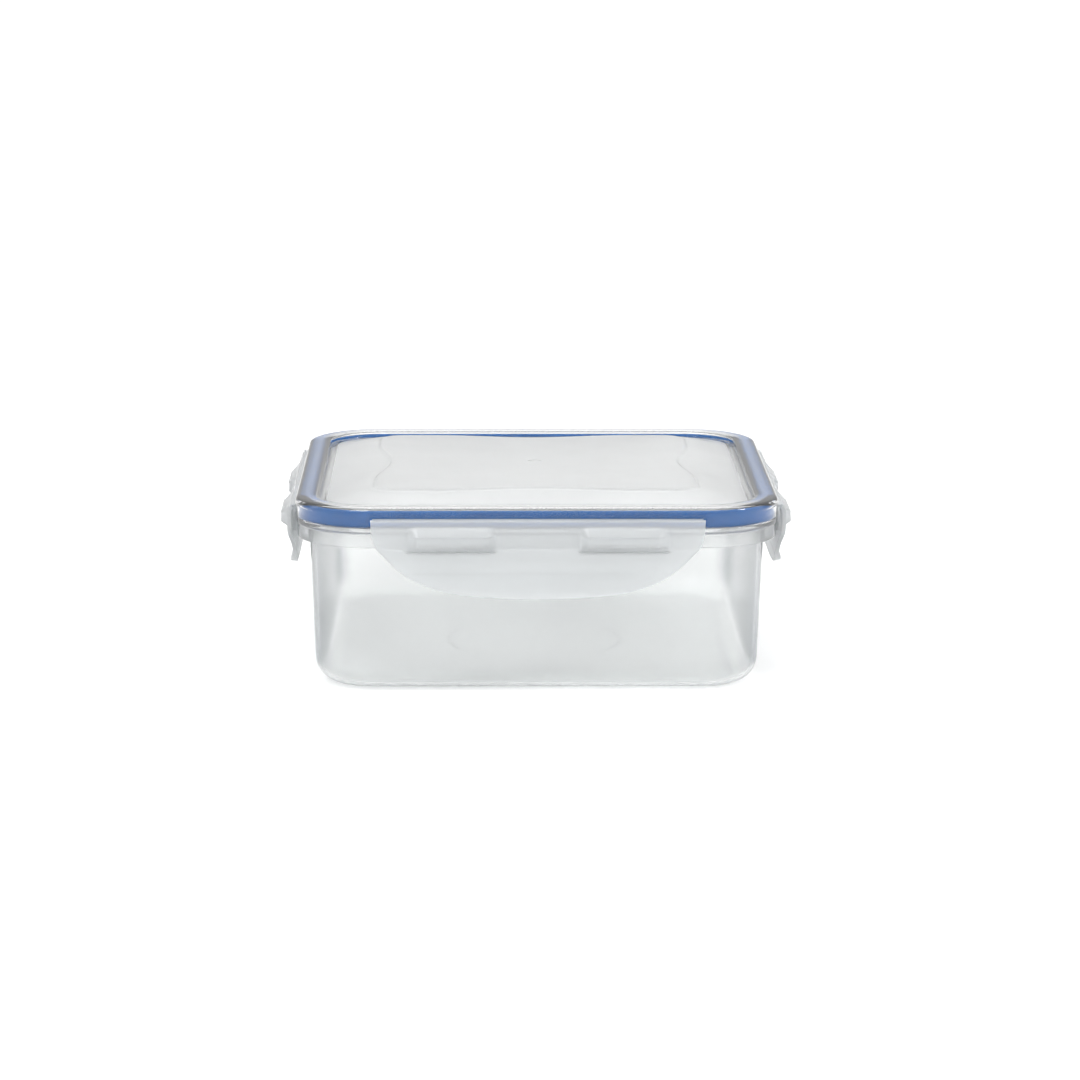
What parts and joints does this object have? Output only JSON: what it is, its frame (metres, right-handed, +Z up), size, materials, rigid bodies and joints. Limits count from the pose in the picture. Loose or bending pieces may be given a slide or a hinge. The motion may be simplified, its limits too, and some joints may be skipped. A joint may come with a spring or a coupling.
{
  "type": "snap lid food container",
  "caption": "Square clear food tub with a frosted lid, a blue seal in the lid's raised rim and a hinged locking flap along each side.",
  "frame": {"origin": "centre of the tub's underside, on the surface it stands on", "axes": "+Z up, -Y towards the front flap"},
  "size_m": [0.1688, 0.1688, 0.0633],
  "materials": {
    "clear_polypropylene": "clear, slightly milky, polished",
    "frosted_polypropylene": "frosted, translucent",
    "blue_silicone": "satin"
  },
  "bodies": {
    "tub": {"tub": "clear_polypropylene"},
    "lid": {"lid": "frosted_polypropylene", "gasket": "blue_silicone", "hinge_front": "frosted_polypropylene", "hinge_right": "frosted_polypropylene", "hinge_back": "frosted_polypropylene", "hinge_left": "frosted_polypropylene"},
    "flap_front": {"flap_front": "frosted_polypropylene"},
    "flap_right": {"flap_right": "frosted_polypropylene"},
    "flap_back": {"flap_back": "frosted_polypropylene"},
    "flap_left": {"flap_left": "frosted_polypropylene"}
  },
  "joints": [
    {"name": "lid_lift", "type": "slide", "parent": "tub", "child": "lid", "axis": [0, 0, 1], "range_m": [0, 0.08]},
    {"name": "flap_front_swing", "type": "hinge", "parent": "lid", "child": "flap_front", "pos_m": [0, -0.0791, 0.0575], "axis": [-1, 0, 0], "range_deg": [0, 95]},
    {"name": "flap_right_swing", "type": "hinge", "parent": "lid", "child": "flap_right", "pos_m": [0.0791, 0, 0.0575], "axis": [0, -1, 0], "range_deg": [0, 95]},
    {"name": "flap_back_swing", "type": "hinge", "parent": "lid", "child": "flap_back", "pos_m": [0, 0.0791, 0.0575], "axis": [1, 0, 0], "range_deg": [0, 95]},
    {"name": "flap_left_swing", "type": "hinge", "parent": "lid", "child": "flap_left", "pos_m": [-0.0791, 0, 0.0575], "axis": [0, 1, 0], "range_deg": [0, 95]}
  ]
}
